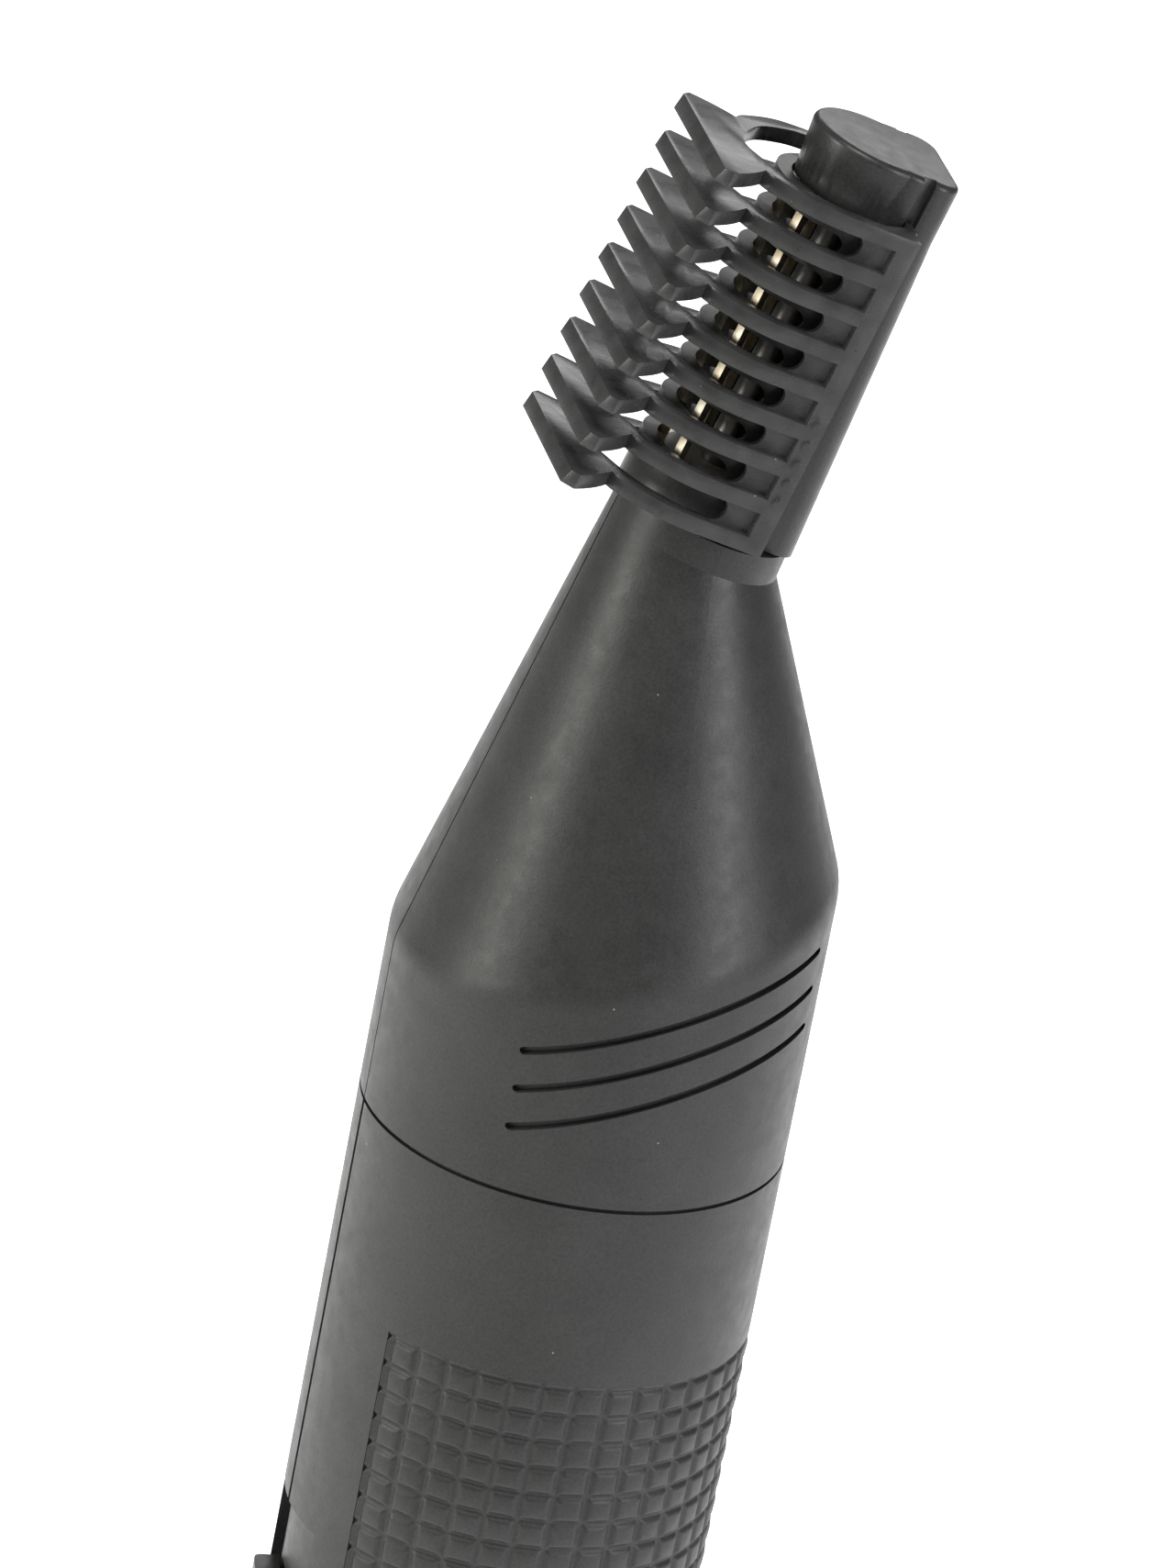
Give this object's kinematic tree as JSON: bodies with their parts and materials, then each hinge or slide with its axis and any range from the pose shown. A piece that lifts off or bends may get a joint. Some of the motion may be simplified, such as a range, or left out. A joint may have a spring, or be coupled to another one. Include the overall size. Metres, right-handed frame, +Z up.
{
  "type": "nose hair trimmer",
  "caption": "Cordless trimmer: round handle, leaning head with a slotted guard over a turning cutter, slide-on eyebrow comb, slide switch and pull-off battery cap.",
  "frame": {"origin": "centre of the flat base, on the battery cap", "axes": "+Z up the handle's axis, -Y to the front, where the switch and the comb's teeth are, +X to the right seen from behind"},
  "size_m": [0.0262, 0.0274, 0.1301],
  "materials": {
    "body_plastic": "matte charcoal, fine spark-eroded texture",
    "grip_rubber": "matte charcoal, square pillow pattern",
    "guard_plastic": "satin charcoal",
    "comb_plastic": "smoky, semi-gloss, lets a little light through",
    "cutter_steel": "ground, bright edges",
    "shaft_steel": "ground",
    "motor_steel": "bright plated",
    "contact_brass": "plated strip",
    "inner_plastic": "natural white moulding",
    "drive_plastic": "acetal, natural",
    "magnet_ferrite": "sintered grey",
    "copper_winding": "enamelled copper",
    "battery_wrap": "plain printed film",
    "black_rubber": "moulded",
    "spring_steel": "nickel plated wire"
  },
  "bodies": {
    "housing": {"handle_shell_right": "body_plastic", "handle_shell_left": "body_plastic", "grip_pad_right": "grip_rubber", "grip_pad_left": "grip_rubber", "head_shell_right": "body_plastic", "head_shell_left": "body_plastic", "guard_tube": "guard_plastic", "guard_spine": "guard_plastic", "top_bush": "drive_plastic", "lower_bush": "drive_plastic", "motor_carrier": "inner_plastic", "motor_can": "motor_steel", "motor_end_cap": "inner_plastic", "motor_bush": "contact_brass", "motor_magnets": "magnet_ferrite", "motor_terminals": "contact_brass", "battery_sleeve": "inner_plastic", "positive_contact": "contact_brass", "switch_base": "inner_plastic", "switch_contacts": "contact_brass", "negative_strip": "contact_brass", "switched_strip": "contact_brass"},
    "cutter": {"cutter_blades": "cutter_steel", "cutter_hub": "drive_plastic", "cutter_spindle": "shaft_steel", "drive_pin": "shaft_steel"},
    "rotor": {"motor_armature": "copper_winding", "motor_commutator": "copper_winding", "motor_shaft": "shaft_steel", "drive_cup": "drive_plastic"},
    "comb": {"eyebrow_comb": "comb_plastic"},
    "cap": {"battery_cap": "body_plastic", "cap_o_ring": "black_rubber", "cap_contact": "contact_brass", "battery_spring": "spring_steel"},
    "cell": {"battery": "battery_wrap"},
    "switch": {"switch_button": "guard_plastic", "switch_slider": "inner_plastic", "switch_bridge": "contact_brass"}
  },
  "joints": [
    {"name": "motor_spin", "type": "hinge", "parent": "housing", "child": "rotor", "pos_m": [0, -0.003, 0.08], "axis": [0, 0, 1], "continuous": true},
    {"name": "cutter_spin", "type": "hinge", "parent": "housing", "child": "cutter", "pos_m": [0, -0.0005, 0.10345], "axis": [0, 0.2773, 0.9608], "continuous": true},
    {"name": "comb_slide", "type": "slide", "parent": "housing", "child": "comb", "axis": [0, 0.2773, 0.9608], "range_m": [0, 0.032]},
    {"name": "switch_slide", "type": "slide", "parent": "housing", "child": "switch", "axis": [0, 0, 1], "range_m": [0, 0.004]},
    {"name": "cap_slide", "type": "slide", "parent": "housing", "child": "cap", "axis": [0, 0, -1], "range_m": [0, 0.054]},
    {"name": "battery_slide", "type": "slide", "parent": "housing", "child": "cell", "axis": [0, 0, -1], "range_m": [0, 0.054]}
  ],
  "couplings": [
    {"joint": "cutter_spin", "follows": "motor_spin", "ratio": 1},
    {"joint": "battery_slide", "follows": "cap_slide", "ratio": 1}
  ]
}
